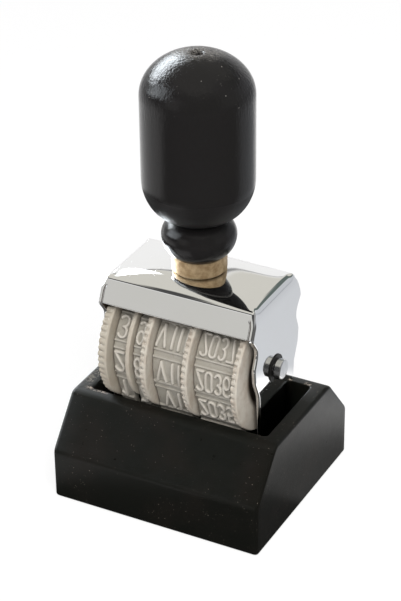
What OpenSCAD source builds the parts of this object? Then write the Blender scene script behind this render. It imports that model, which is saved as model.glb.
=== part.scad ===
// A desk date stamp with four turning number bands, standing in its black wooden rest.
// X runs along the wheel axle, -Y is the thumb side and Z is up.
// The origin is in the middle of the underside of the rest.

/* [Bands] */
// Width of the band with the tens of the day
tens_zone = 3.5; // [3:0.1:5]
// Width of the band with the units of the day
units_zone = 2.9; // [2.4:0.1:5]
// Width of the band with the months
month_zone = 7.6; // [5:0.1:12]
// Width of the band with the years
year_zone = 9.3; // [6:0.1:14]
// Thickness of the rubber of a band
band_thickness = 1.2; // [0.8:0.1:1.6]
// Cells round each band, each with room for one row of type
cell_count = 12; // [8:1:12]
// Height of the two ribs between neighbouring cells
rib_height = 0.35; // [0.2:0.05:0.6]
// Width of one rib along the band
rib_width = 0.45; // [0.3:0.05:0.8]
// Distance between the two ribs of a pair
rib_spacing = 1.5; // [1:0.1:2]
// Play between a band and what it runs over, and beside it
band_play = 0.2; // [0.15:0.05:0.3]

/* [Wheels] */
// Radius of the hubs that carry the bands
hub_radius = 9.1; // [7.5:0.1:9.8]
// Radius of the thumb rims over their teeth
rim_radius = 13.1; // [12.6:0.1:13.3]
// Thickness of a thumb rim
rim_thickness = 1.4; // [1:0.1:2]
// Number of teeth round a thumb rim
tooth_count = 60; // [40:1:72]
// Depth of the gaps between the teeth
tooth_depth = 0.5; // [0.3:0.05:0.8]
// Radius of the plain guide disc between the two day bands
guide_radius = 12; // [11.4:0.1:12.4]
// Thickness of the plain guide disc
guide_thickness = 0.9; // [0.6:0.1:1.5]
// Gap between neighbouring wheels
wheel_gap = 0.15; // [0.1:0.05:0.3]
// Depth of the moulded ring recess in the open face of a hub
recess_depth = 0.8; // [0.3:0.1:1.2]
// Play between a wheel's bore and the axle
axle_play = 0.05; // [0.03:0.01:0.1]

/* [Axle] */
// Radius of the axle
axle_radius = 2.1; // [1.5:0.1:2.6]
// Distance of the axle in front of the middle plane
axle_forward = 0.8; // [0:0.1:1.1]
// Thickness of the shim between an end wheel and its side plate
shim_thickness = 0.3; // [0.2:0.05:0.5]
// Radius of the shims
shim_radius = 4; // [3.2:0.1:6]
// Thickness of a retaining clip
clip_thickness = 0.4; // [0.3:0.1:0.8]
// Outer radius of a retaining clip
clip_radius = 3; // [2.8:0.1:4]
// Depth of the clip grooves in the axle
groove_depth = 0.5; // [0.3:0.05:0.7]
// Length of axle left outside a clip
axle_tail = 1.4; // [0.6:0.1:2.4]

/* [Frame] */
// Thickness of the chromed sheet
sheet = 0.9; // [0.6:0.1:1.2]
// Depth of the cap over its straight edges, front to back
cap_depth = 17.3; // [16:0.1:19]
// Height of the front and back lips of the cap
lip_height = 4.9; // [3:0.1:5.2]
// How far each lip leans out at its lower edge
lip_flare = 2.2; // [1.6:0.1:2.6]
// Rise of the cap from its straight edges to the seat of the ferrule
crown_rise = 1.7; // [0.6:0.1:2]
// Width of that seat
seat_width = 12.2; // [12:0.1:13]
// Radius of the bends round the seat
seat_round = 2; // [0.5:0.1:2.4]
// Outer radius of the bends over the front and back lips
bend_radius = 1; // [0.8:0.1:1.6]
// Outer radius of the bends over the side plates
side_bend = 1.1; // [1:0.1:2.4]
// Room between the thumb rims and the cap
head_room = 2.1; // [1.9:0.1:3.5]
// Depth of a side plate at its broadest, beside the axle
plate_depth = 19.6; // [18.6:0.1:20.4]
// Height of that broadest place over the axle
broad_rise = 1.5; // [0.5:0.1:1.9]
// Depth of a side plate at its neck, before the corner there is rounded
neck_depth = 15.8; // [15:0.1:17]
// Height of the neck over the axle
neck_rise = 5.7; // [5.5:0.1:6.3]
// Radius of the round hollow in the neck
neck_round = 5; // [3:0.1:6]
// Depth of a side plate at its foot
foot_depth = 12; // [9:0.1:14]

/* [Platen] */
// Depth of the platen that the bands turn round at the bottom
platen_depth = 7.4; // [6:0.1:8]
// Height of the platen
platen_height = 4.2; // [3.4:0.1:6]
// Radius of the platen's lower edges
platen_round = 1.2; // [0.8:0.1:1.6]
// Height of the platen over the feet of the side plates
platen_lift = 0.9; // [0.5:0.1:2]
// Distance from the platen's face up to the axle
loop_height = 22.2; // [22:0.1:24.5]
// Radius of the rivets that hold the platen
rivet_radius = 1; // [0.7:0.1:1.2]
// Depth of the rivets in the platen
rivet_grip = 3; // [2:0.1:6]
// Height of the rivet heads
rivet_head = 0.7; // [0.5:0.1:1]

/* [Rest] */
// Depth of the rest at the bottom, front to back
rest_depth = 41; // [38:0.5:50]
// Depth of the rest at the top
rest_top_depth = 24.4; // [23.4:0.1:27]
// Height of the upright part of the rest's sides
rest_side = 10.9; // [6:0.1:13]
// Height of the rest
rest_height = 20.8; // [18:0.1:21]
// Rounding of the rest's long top edges
rest_round = 1.6; // [0.5:0.1:2.5]
// Rounding of its shoulders, where the slopes begin
shoulder_round = 1.2; // [0.5:0.1:3]
// Rounding of its bottom edges and its upright corners
foot_round = 0.8; // [0.4:0.1:1.5]
// Thickness of the wood at the two ends of the pocket
end_wall = 3.2; // [2:0.1:6]
// Depth of the pocket, front to back
pocket_depth = 20; // [19.8:0.1:21]
// Room in the pocket beside each side plate
pocket_room = 3.2; // [2.2:0.1:5]
// Height of the shelves that the side plates stand on
shelf_height = 7.4; // [6:0.1:9]
// Depth of the well between the shelves, where the type hangs free
well_depth = 3; // [2.2:0.1:4.5]

/* [Handle] */
// Radius of the ferrule between the cap and the handle
ring_radius = 5.4; // [4.8:0.1:5.4]
// Height of the ferrule
ferrule_height = 3.5; // [1.5:0.1:6]
// Radius of the bead at the foot of the handle
bead_radius = 7.3; // [6.8:0.1:9]
// Height of the bead under its broadest place
bead_under = 4; // [2:0.1:6]
// Height of the bead over its broadest place
bead_over = 3.9; // [2:0.1:5]
// Radius of the neck between the bead and the grip
neck_radius = 4.3; // [3.4:0.1:5.2]
// Radius of the grip
grip_radius = 10.9; // [9:0.1:13]
// Height of the rounded shoulder under the grip
shoulder_height = 8.3; // [6:0.1:12]
// Length of the straight part of the grip
grip_straight = 16.8; // [8:0.1:40]
// Height of the dome over the grip
dome_height = 8.5; // [5:0.1:11]
// Radius of the turning mark on top of the dome
dimple_radius = 1.1; // [0.5:0.1:1.5]
// Radius of the screw that holds the handle
screw_radius = 1.9; // [1.2:0.1:2.4]
// Length of the screw inside the handle
screw_grip = 16; // [10:0.5:24]
// Radius of the screw's head under the cap
screw_head_radius = 3.4; // [2.9:0.1:4]
// Thickness of the screw's head
screw_head = 0.8; // [0.5:0.1:1]

/* [Hidden] */
$fn = 64;

// Clearance of pins in plain holes, and how far a cutter runs past a face
hole_play = 0.03;
past = 1;

// Rows of type along a band from the front of its hub down to the platen
rows_ahead = 4;

// Places along the axle, from the outer face of the first rim
wheel_stack = 4 * rim_thickness + guide_thickness
    + tens_zone + units_zone + month_zone + year_zone;
inner_half = wheel_stack / 2 + wheel_gap + shim_thickness;
outer_half = inner_half + sheet;
tens_rim_x = -wheel_stack / 2;
tens_x = tens_rim_x + rim_thickness;
guide_x = tens_x + tens_zone;
units_x = guide_x + guide_thickness;
units_rim_x = units_x + units_zone;
month_x = units_rim_x + rim_thickness;
month_rim_x = month_x + month_zone;
year_x = month_rim_x + rim_thickness;
year_rim_x = year_x + year_zone;

// Heights
foot_z = shelf_height;
platen_z = foot_z + platen_lift;
axle_z = platen_z + loop_height;
axle_y = -axle_forward;
cap_inside_z = axle_z + rim_radius + head_room;
cap_z = cap_inside_z + sheet;
lip_z = cap_z - lip_height;
seat_z = cap_z + crown_rise;
handle_z = seat_z + ferrule_height;

// The pocket and the well of the rest
pocket_half = outer_half + pocket_room;
rest_half = pocket_half + end_wall;
well_half = year_rim_x + rim_thickness - band_play;

// Teeth stand on a circle inside the rim, and touch its outer radius
tooth_pitch_angle = 360 / tooth_count;
tooth_radius = 0.42 * (rim_radius - tooth_depth / 2) * tooth_pitch_angle * PI / 180;

function unit(v) = v / norm(v);
function turn(v) = [-v.y, v.x];
function polar(r, a) = [r * cos(a), r * sin(a)];

// Points of an elliptical arc with half axes size, from angle a to angle b
function arc(centre, size, a, b, steps = 16) =
    [for (i = [0:steps]) let (t = a + (b - a) * i / steps)
        centre + [size.x * cos(t), size.y * sin(t)]];

// A polygon's points with each corner rounded to its own radius
function rounded(points, radii, steps = 6) = [
    for (i = [0:len(points) - 1])
        let (
            n = len(points),
            back = unit(points[(i + n - 1) % n] - points[i]),
            on = unit(points[(i + 1) % n] - points[i]),
            half = acos(back * on) / 2,
            reach = radii[i] / tan(half),
            centre = points[i] + unit(back + on) * radii[i] / sin(half),
            from = points[i] + back * reach - centre,
            to = points[i] + on * reach - centre,
            a = atan2(from.y, from.x),
            swing = (atan2(to.y, to.x) - a + 540) % 360 - 180
        )
        each radii[i] == 0 ? [points[i]]
            : [for (k = [0:steps]) centre + polar(radii[i], a + swing * k / steps)]];

// The path of a band: round the hub, then round both lower edges of the platen.
// Each entry holds the centre and the radius of what the band bends round.
turns = [
    [[axle_y, axle_z], hub_radius],
    [[-platen_depth / 2 + platen_round, platen_z + platen_round], platen_round],
    [[platen_depth / 2 - platen_round, platen_z + platen_round], platen_round]];

// Direction of the outward normal on the straight that leaves turn i
function leaving(i) =
    let (
        a = turns[i],
        b = turns[(i + 1) % 3],
        span = b[0] - a[0]
    )
    atan2(span.y, span.x) - acos((a[1] - b[1]) / norm(span));
function swing_at(i) = (leaving(i) - leaving((i + 2) % 3) + 720) % 360;
function straight_at(i) =
    let (a = turns[i], b = turns[(i + 1) % 3])
    sqrt(pow(norm(b[0] - a[0]), 2) - pow(a[1] - b[1], 2));
function bend_at(i, out) = (turns[i][1] + out) * swing_at(i) * PI / 180;

// Closed outline of the path, moved outward by a distance
function loop(out) = [
    for (i = [0:2])
        let (
            steps = i == 0 ? 40 : 8,
            start = leaving((i + 2) % 3)
        )
        each arc(turns[i][0], [1, 1] * (turns[i][1] + out), start, start + swing_at(i), steps)];

// Point and normal direction at a distance s along the path moved outward
function on_loop(s, out, i = 0) =
    let (
        bend = bend_at(i, out),
        normal = leaving((i + 2) % 3) + swing_at(i) * min(s / bend, 1),
        point = turns[i][0] + polar(turns[i][1] + out, normal)
    )
    s <= bend ? [point, normal]
    : s <= bend + straight_at(i)
        ? [point + turn(polar(s - bend, normal)), normal]
        : on_loop(s - bend - straight_at(i), out, i + 1);
function loop_length(out) =
    bend_at(0, out) + bend_at(1, out) + bend_at(2, out)
    + straight_at(0) + straight_at(1) + straight_at(2);

// Distances along that path to the front of the hub and to the middle of the platen's face
function front_of(out) = bend_at(0, out) * (180 - leaving(2)) / swing_at(0);
function platen_of(out) =
    bend_at(0, out) + straight_at(0) + bend_at(1, out) + straight_at(1) / 2;

// Draws a flat outline in Y and Z and gives it a width from x along X
module across(x, width) {
    translate([x, 0, 0]) rotate([90, 0, 90]) linear_extrude(width) children();
}

// A cylinder round the wheel axle, from x along X
module on_axle(x, width, radius) {
    across(x, width) translate([axle_y, axle_z]) circle(radius);
}

module rest() {
    half = rest_depth / 2;
    top = rest_top_depth / 2;
    color([0.10, 0.09, 0.09])
    difference() {
        intersection() {
            across(-rest_half, 2 * rest_half)
                polygon(rounded([
                    [-half, 0], [half, 0], [half, rest_side],
                    [top, rest_height], [-top, rest_height], [-half, rest_side]],
                    [foot_round, foot_round, shoulder_round, rest_round, rest_round, shoulder_round]));
            linear_extrude(rest_height)
                polygon(rounded([
                    [-rest_half, -half], [rest_half, -half],
                    [rest_half, half], [-rest_half, half]],
                    [1, 1, 1, 1] * foot_round));
        }
        translate([0, 0, shelf_height])
            linear_extrude(rest_height)
            polygon(rounded([
                [-pocket_half, -pocket_depth / 2], [pocket_half, -pocket_depth / 2],
                [pocket_half, pocket_depth / 2], [-pocket_half, pocket_depth / 2]],
                [1, 1, 1, 1] * foot_round));
        translate([-well_half, -pocket_depth / 2, shelf_height - well_depth])
            cube([2 * well_half, pocket_depth, well_depth + past]);
    }
}

// Draws an outline that is the same on both sides, from the points and radii of its right half
module both_sides(half, radii) {
    last = len(half) - 1;
    polygon(rounded(
        [each half, for (i = [last:-1:0]) [-half[i].x, half[i].y]],
        [each radii, for (i = [last:-1:0]) radii[i]]));
}

// The right half of an outline, from its foot to its flat top, moved inward by a distance
function narrowed(half, inset) = [
    for (i = [0:len(half) - 1])
        let (
            below = turn(unit(half[max(i, 1)] - half[max(i, 1) - 1])),
            above = i == len(half) - 1 ? [0, -1] : turn(unit(half[i + 1] - half[i]))
        )
        half[i] + inset * (below + above) / (1 + below * above)];

// Outline of the cap from the side, moved inward by a distance
module cap_outline(inset) {
    both_sides(narrowed([
        [cap_depth / 2 + lip_flare, lip_z],
        [cap_depth / 2, cap_z],
        [seat_width / 2, seat_z]], inset),
        [0, max(bend_radius - inset, 0.1), max(seat_round - inset, 0.1)]);
}

// Outline of the whole frame from the side: feet, plates broad at the axle, neck and cap
module side_outline() {
    both_sides([
        [foot_depth / 2, foot_z],
        [plate_depth / 2, axle_z + broad_rise],
        [neck_depth / 2, axle_z + neck_rise],
        [cap_depth / 2 + lip_flare, lip_z],
        [cap_depth / 2, cap_z],
        [seat_width / 2, seat_z]],
        [bend_radius, bend_radius, neck_round, bend_radius, bend_radius, seat_round]);
}

// Draws the frame's outline from the front, moved inward by a distance, through its whole depth.
// Where it crosses an outline from the side, the cap slopes to the seat from all four edges.
module front_form(inset, bottom) {
    translate([0, plate_depth, 0]) rotate([90, 0, 0])
        linear_extrude(2 * plate_depth)
        both_sides(narrowed([
            [outer_half, bottom],
            [outer_half, cap_z],
            [seat_width / 2, seat_z]], inset),
            [0, max(side_bend - inset, 0.1), max(seat_round - inset, 0.1)]);
}

module frame_shell() {
    color([0.80, 0.80, 0.79])
    difference() {
        intersection() {
            across(-outer_half, 2 * outer_half) side_outline();
            front_form(0, foot_z);
        }
        intersection() {
            across(-inner_half, 2 * inner_half) {
                cap_outline(sheet);
                translate([-plate_depth, foot_z - past])
                    square([2 * plate_depth, lip_z - foot_z + past]);
            }
            front_form(sheet, foot_z - past);
        }
        on_axle(-outer_half - past, 2 * (outer_half + past), axle_radius + hole_play);
        across(-outer_half - past, 2 * (outer_half + past))
            translate([0, platen_z + platen_height / 2]) circle(rivet_radius + hole_play);
        cylinder(h = seat_z + past, r = screw_radius + hole_play);
    }
}

module platen() {
    half = platen_depth / 2;
    color([0.62, 0.62, 0.62])
    difference() {
        across(-inner_half, 2 * inner_half)
            polygon(rounded([
                [-half, platen_z], [half, platen_z],
                [half, platen_z + platen_height], [-half, platen_z + platen_height]],
                [platen_round, platen_round, platen_round / 2, platen_round / 2]));
        for (x = [-inner_half - past, inner_half - rivet_grip])
            across(x, rivet_grip + past)
                translate([0, platen_z + platen_height / 2]) circle(rivet_radius + hole_play);
    }
}

// A rivet that holds the right end of the platen
module rivet() {
    color([0.70, 0.70, 0.70])
    translate([inner_half - rivet_grip, 0, platen_z + platen_height / 2])
        rotate([0, 90, 0]) {
            cylinder(h = rivet_grip + sheet + rivet_head, r = rivet_radius);
            translate([0, 0, rivet_grip + sheet])
                cylinder(h = rivet_head, r1 = 2 * rivet_radius, r2 = 1.4 * rivet_radius);
        }
}

module left_rivet() {
    mirror([1, 0, 0]) rivet();
}

module right_rivet() {
    rivet();
}

module axle() {
    end = outer_half + clip_thickness + 2 * hole_play + axle_tail;
    bevel = axle_radius / 8;
    color([0.75, 0.75, 0.74])
    difference() {
        translate([-end, axle_y, axle_z]) rotate([0, 90, 0])
            rotate_extrude()
            polygon([
                [0, 0], [axle_radius - bevel, 0], [axle_radius, bevel],
                [axle_radius, 2 * end - bevel], [axle_radius - bevel, 2 * end], [0, 2 * end]]);
        for (x = [-outer_half - clip_thickness - 2 * hole_play, outer_half])
            difference() {
                on_axle(x, clip_thickness + 2 * hole_play, axle_radius + past);
                on_axle(x - past, clip_thickness + 2 * past + hole_play,
                    axle_radius - groove_depth);
            }
    }
}

// A toothed rim: a disc with a round tooth at every step of the pitch
module thumb_rim(x) {
    across(x, rim_thickness) translate([axle_y, axle_z]) {
        circle(rim_radius - tooth_depth);
        for (i = [0:tooth_count - 1])
            rotate(i * tooth_pitch_angle)
                translate([rim_radius - tooth_radius, 0]) circle(tooth_radius, $fn = 24);
    }
}

module bore() {
    on_axle(-inner_half, 2 * inner_half, axle_radius + axle_play);
}

module tens_wheel() {
    color([0.82, 0.79, 0.71])
    difference() {
        union() {
            thumb_rim(tens_rim_x);
            on_axle(tens_x, tens_zone, hub_radius);
            on_axle(guide_x, guide_thickness, guide_radius);
        }
        bore();
    }
}

// A wheel with its hub on the left and its thumb rim on the right
module plain_wheel(x, rim_x) {
    color([0.82, 0.79, 0.71])
    difference() {
        union() {
            on_axle(x + wheel_gap, rim_x - x - wheel_gap, hub_radius);
            thumb_rim(rim_x);
        }
        difference() {
            on_axle(x - past, wheel_gap + recess_depth + past, hub_radius - recess_depth);
            on_axle(x - 2 * past, wheel_gap + recess_depth + 4 * past,
                axle_radius + axle_play + recess_depth);
        }
        bore();
    }
}

module units_wheel() {
    plain_wheel(units_x, units_rim_x);
}

module month_wheel() {
    plain_wheel(month_x, month_rim_x);
}

module year_wheel() {
    plain_wheel(year_x, year_rim_x);
}

// A rubber band from x along X, with a pair of low ribs between its cells.
// One row of type faces the thumb while another lies under the middle of the platen.
module band(x, zone) {
    outside = band_play + band_thickness;
    whole = loop_length(outside);
    front = front_of(outside);
    pitch = (platen_of(outside) - front) / rows_ahead;
    sunk = band_thickness / 2;
    color([0.69, 0.66, 0.60])
    across(x + band_play, zone - 2 * band_play) difference() {
        union() {
            polygon(loop(outside));
            for (cell = [0:cell_count - 1], side = [-0.5, 0.5])
                let (
                    s = front + (rows_ahead + 1.5 - cell) * pitch + side * rib_spacing,
                    place = on_loop((s + whole) % whole, outside)
                )
                translate(place[0]) rotate(place[1])
                    translate([-sunk, -rib_width / 2])
                    square([sunk + rib_height, rib_width]);
        }
        polygon(loop(band_play));
    }
}

module tens_band() {
    band(tens_x, tens_zone);
}

module units_band() {
    band(units_x, units_zone);
}

module month_band() {
    band(month_x, month_zone);
}

module year_band() {
    band(year_x, year_zone);
}

module shim(x) {
    color([0.72, 0.70, 0.62])
    difference() {
        on_axle(x, shim_thickness, shim_radius);
        on_axle(x - past, shim_thickness + 2 * past, axle_radius + hole_play);
    }
}

module left_shim() {
    shim(-inner_half);
}

module right_shim() {
    shim(inner_half - shim_thickness);
}

// A sprung clip: a ring that is open below, with three tabs that reach the groove
module clip(x) {
    grip = axle_radius - groove_depth + hole_play;
    relief = (clip_radius + grip) / 2;
    color([0.06, 0.06, 0.06])
    translate([0, axle_y, axle_z])
    across(x, clip_thickness)
    difference() {
        circle(clip_radius);
        circle(grip);
        for (a = [30, 150])
            rotate(a) translate([grip, 0]) circle((clip_radius - grip) / 2);
        translate([-0.8 * grip, -clip_radius - past])
            square([1.6 * grip, clip_radius + past]);
    }
}

module left_clip() {
    clip(-outer_half - clip_thickness - hole_play);
}

module right_clip() {
    clip(outer_half + hole_play);
}

module ferrule() {
    color([0.65, 0.57, 0.45])
    difference() {
        translate([0, 0, seat_z]) cylinder(h = ferrule_height, r = ring_radius);
        translate([0, 0, seat_z - past])
            cylinder(h = ferrule_height + 2 * past, r = screw_radius + hole_play);
    }
}

// A turned handle: a bead, a neck, and a grip with a round shoulder and a dome
module handle() {
    low = acos(ring_radius / bead_radius);
    high = acos(neck_radius / bead_radius);
    bead_z = handle_z + bead_under;
    straight_z = bead_z + bead_over + shoulder_height;
    dome_z = straight_z + grip_straight;
    shoulder = [grip_radius - neck_radius, shoulder_height];
    color([0.05, 0.05, 0.05])
    difference() {
        rotate_extrude() polygon([
            [0, handle_z],
            each arc([0, bead_z], [bead_radius, bead_under / sin(low)], -low, 0, 10),
            each arc([0, bead_z], [bead_radius, bead_over / sin(high)], high / 12, high, 11),
            each arc([neck_radius, straight_z], shoulder, -90, 0, 20),
            each arc([0, dome_z], [grip_radius, dome_height], 0, 90, 24)]);
        translate([0, 0, handle_z - past])
            cylinder(h = screw_grip + 2 * past, r = screw_radius + hole_play);
        translate([0, 0, dome_z + dome_height])
            sphere(dimple_radius);
    }
}

module handle_screw() {
    head_z = seat_z - sheet - screw_head;
    slot = screw_head / 2;
    color([0.66, 0.66, 0.66])
    difference() {
        union() {
            translate([0, 0, head_z])
                cylinder(h = screw_head, r = screw_head_radius);
            translate([0, 0, head_z])
                cylinder(h = handle_z + screw_grip - head_z, r = screw_radius);
        }
        translate([-slot, -screw_head_radius - past, head_z - past])
            cube([2 * slot, 2 * (screw_head_radius + past), slot + past]);
    }
}

rest();
frame_shell();
platen();
left_rivet();
right_rivet();
axle();
tens_wheel();
units_wheel();
month_wheel();
year_wheel();
tens_band();
units_band();
month_band();
year_band();
left_shim();
right_shim();
left_clip();
right_clip();
ferrule();
handle();
handle_screw();
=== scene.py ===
import bpy
import bmesh
import math
import numpy as np
from mathutils import Matrix, Vector


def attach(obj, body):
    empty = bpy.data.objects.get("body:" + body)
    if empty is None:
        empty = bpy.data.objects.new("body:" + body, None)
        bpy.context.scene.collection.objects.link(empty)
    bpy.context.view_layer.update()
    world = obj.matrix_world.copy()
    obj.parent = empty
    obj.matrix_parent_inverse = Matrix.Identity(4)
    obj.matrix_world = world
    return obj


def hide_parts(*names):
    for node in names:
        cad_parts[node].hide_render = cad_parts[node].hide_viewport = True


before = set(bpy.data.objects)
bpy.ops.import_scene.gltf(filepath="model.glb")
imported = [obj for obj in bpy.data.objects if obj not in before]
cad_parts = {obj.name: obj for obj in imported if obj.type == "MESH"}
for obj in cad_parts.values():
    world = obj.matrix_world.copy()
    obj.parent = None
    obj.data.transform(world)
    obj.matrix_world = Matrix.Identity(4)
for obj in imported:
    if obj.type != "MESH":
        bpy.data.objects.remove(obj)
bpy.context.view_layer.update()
mm = 0.001
axleAt = (-0.8, 30.5)  # y and z of the line the wheels turn on
teeth = 60  # round each thumb rim

# where the photo was taken from, in millimetres and degrees
view = {
    "azimuth": 28.093, "elevation": 30.379, "roll": -0.726,
    "distance": 423.46, "target": (0.097, 0.0, 40.769), "lens": 130.3,
}


def toward(azimuth, height):
    # unit vector at a bearing from +Y toward +X and a height over the horizon, in degrees
    a, h = math.radians(azimuth), math.radians(height)
    return Vector((math.sin(a) * math.cos(h), math.cos(a) * math.cos(h), math.sin(h)))


def added(name, data):
    piece = bpy.data.objects.new(name, data)
    bpy.context.collection.objects.link(piece)
    return piece


def aimCamera():
    back, level = toward(180 - view["azimuth"], view["elevation"]), toward(90 - view["azimuth"], 0)
    rise, roll = back.cross(level), math.radians(view["roll"])
    right = level * math.cos(roll) + rise * math.sin(roll)
    up = rise * math.cos(roll) - level * math.sin(roll)
    lens = bpy.data.cameras.new("camera")
    lens.lens, lens.clip_start, lens.clip_end = view["lens"], 0.01, 20
    eye = added("camera", lens)
    stand = Vector(view["target"]) + back * view["distance"]
    eye.matrix_world = Matrix.Translation(stand * mm) @ Matrix((right, up, back)).transposed().to_4x4()
    bpy.context.scene.camera = eye


aimCamera()
print("camera is set")


# shader nodes, written as sums

class Wire:
    # one socket; each sum on it becomes a Math node
    def __init__(self, bench, socket):
        self.bench, self.socket = bench, socket

    def sum(self, operation, first, second):
        return self.bench.node("Math", {"operation": operation}, {0: first, 1: second})

    def __add__(self, other):
        return self.sum("ADD", self, other)

    __radd__ = __add__

    def __sub__(self, other):
        return self.sum("SUBTRACT", self, other)

    def __rsub__(self, other):
        return self.sum("SUBTRACT", other, self)

    def __mul__(self, other):
        return self.sum("MULTIPLY", self, other)

    __rmul__ = __mul__

    def __pow__(self, other):
        return self.sum("POWER", self, other)

    def __rpow__(self, other):
        return self.sum("POWER", other, self)


class Bench:
    # the nodes of one finish, of the floor or of the world
    def __init__(self, tree):
        self.tree = tree
        tree.nodes.clear()

    def node(self, kind, settings=None, sockets=None, output=0):
        made = self.tree.nodes.new("ShaderNode" + kind)
        for name, value in (settings or {}).items():
            setattr(made, name, value)
        for name, value in (sockets or {}).items():
            if isinstance(value, Wire):
                self.tree.links.new(value.socket, made.inputs[name])
            else:
                made.inputs[name].default_value = value
        return Wire(self, made.outputs[output]) if len(made.outputs) else None

    def scaled(self, vector, scale):
        return self.node("VectorMath", {"operation": "MULTIPLY"}, {0: vector, 1: scale})

    def spot(self, stretch=(1, 1, 1)):
        # the place on the object in millimetres, stretched before a pattern reads it
        return self.scaled(self.node("TexCoord", output="Object"), [s / mm for s in stretch])

    def split(self, vector):
        outputs = self.node("SeparateXYZ", sockets={0: vector}).socket.node.outputs
        return [Wire(self, socket) for socket in outputs]

    def lone(self, operation, value):
        return self.node("Math", {"operation": operation}, {0: value})

    def noise(self, scale, detail=3.0, roughness=0.55, at=None, warp=0.0):
        return self.node("TexNoise", {}, {
            "Vector": at or self.spot(), "Scale": scale, "Detail": detail,
            "Roughness": roughness, "Distortion": warp})

    def span(self, value, low, high):
        # 0 at low, 1 at high, with soft ends
        return self.node("MapRange", {"interpolation_type": "SMOOTHSTEP"}, {0: value, 1: low, 2: high})

    def between(self, value, start, full, last, end):
        # 1 from full to last, 0 before start and after end
        return self.span(value, start, full) * self.span(value, end, last)

    def within(self, value, low, high, soft):
        return self.between(value, low - soft, low + soft, high - soft, high + soft)

    def bearing(self, x, y):
        # degrees from +Y toward +X
        return self.node("Math", {"operation": "ARCTAN2"}, {0: x, 1: y}) * math.degrees(1)

    def mixed(self, factor, low, high):
        return self.node("Mix", {"data_type": "RGBA"}, {0: factor, 6: low, 7: high}, 2)

    def bump(self, height, distance, strength=1.0, under=None):
        # distance in millimetres
        sockets = {"Height": height, "Distance": distance * mm, "Strength": strength}
        if under:
            sockets["Normal"] = under
        return self.node("Bump", {}, sockets)

    def shader(self, **sockets):
        return self.node("BsdfPrincipled", {}, {name.replace("_", " "): v for name, v in sockets.items()})


def colour(red, green, blue):
    # 0 to 255 as seen on a screen, made linear for the shader
    c = np.array([red, green, blue]) / 255
    return (*np.where(c <= 0.04045, c / 12.92, ((c + 0.055) / 1.055) ** 2.4).tolist(), 1.0)


def grey(level):
    return (level, level, level, 1.0)


def finish(name, recipe, *more):
    material = bpy.data.materials.new(name)
    material.use_nodes = True
    bench = Bench(material.node_tree)
    bench.node("OutputMaterial", {}, {0: recipe(bench, *more)})
    return material


# surfaces

def arc(centre, size, start, end, steps):
    # centre + (size x cos t, size y sin t) for t from start to end in degrees
    t = np.radians(np.linspace(start, end, steps + 1))
    return np.column_stack([centre[0] + size[0] * np.cos(t), centre[1] + size[1] * np.sin(t)])


def rounded(corners, radii, steps, closed=False, support=0.0):
    # each corner becomes an arc of its own radius that touches both of its sides;
    # support adds a point that far outside each end of the arc, to keep the sides flat
    corners = np.array(corners, float)
    last = len(corners) - 1
    out = []
    for i, radius in enumerate(radii):
        corner = corners[i]
        if radius == 0 or (not closed and i in (0, last)):
            out.append(corner[None])
            continue
        back = corners[i - 1] - corner
        on = corners[(i + 1) % (last + 1)] - corner
        back, on = back / np.hypot(*back), on / np.hypot(*on)
        half = math.acos(back @ on) / 2
        reach = radius / math.tan(half)
        centre = corner + (back + on) / np.hypot(*(back + on)) * radius / math.sin(half)
        a = math.atan2(*(corner + back * reach - centre)[::-1])
        b = math.atan2(*(corner + on * reach - centre)[::-1])
        swing = (b - a + math.pi) % (2 * math.pi) - math.pi
        if support:
            out.append((corner + back * (reach + support))[None])
        out.append(arc(centre, (radius, radius), math.degrees(a), math.degrees(a + swing), steps))
        if support:
            out.append((corner + on * (reach + support))[None])
    return np.vstack(out)


weldWithin = 0.002 * mm


def surface(name, grids, sharp=40.0, weld=True, relief=None):
    # grids of points (rows, columns, 3) in millimetres, each with a flag for its rows
    # and one for its columns that says whether the last is joined to the first
    vertices, quads, start = [], [], 0
    for points, closeRows, closeColumns in grids:
        rows, columns = points.shape[:2]
        index = start + np.arange(rows * columns).reshape(rows, columns)
        if closeRows:
            index = np.vstack([index, index[:1]])
        if closeColumns:
            index = np.hstack([index, index[:, :1]])
        quads.append(np.stack(
            [index[:-1, :-1], index[:-1, 1:], index[1:, 1:], index[1:, :-1]], -1).reshape(-1, 4))
        vertices.append(points.reshape(-1, 3) * mm)
        start += rows * columns
    mesh = bpy.data.meshes.new(name)
    mesh.from_pydata(np.vstack(vertices).tolist(), [], np.vstack(quads).tolist())
    if relief is not None:
        mesh.attributes.new("relief", "FLOAT", "POINT").data.foreach_set("value", relief.ravel())
    work = bmesh.new()
    work.from_mesh(mesh)
    if weld:
        bmesh.ops.remove_doubles(work, verts=work.verts, dist=weldWithin)
    bmesh.ops.recalc_face_normals(work, faces=work.faces)
    work.to_mesh(mesh)
    work.free()
    return smoothed(name, mesh, sharp)


def smoothed(name, mesh, sharp):
    mesh.polygons.foreach_set("use_smooth", np.ones(len(mesh.polygons), bool))
    mesh.set_sharp_from_angle(angle=math.radians(sharp))
    return added(name, mesh)


def turned(name, profile, steps=96):
    # the profile (height, radius) carried once round the Z axis
    t = np.linspace(0, 2 * np.pi, steps, endpoint=False)[:, None]
    height, radius = profile[:, 0] + 0 * t, profile[:, 1]
    return surface(name, [(np.stack([radius * np.cos(t), radius * np.sin(t), height], -1), True, False)])


clips = {"thickness": 0.5, "size": 0.95}  # shares of the solids' own


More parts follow.
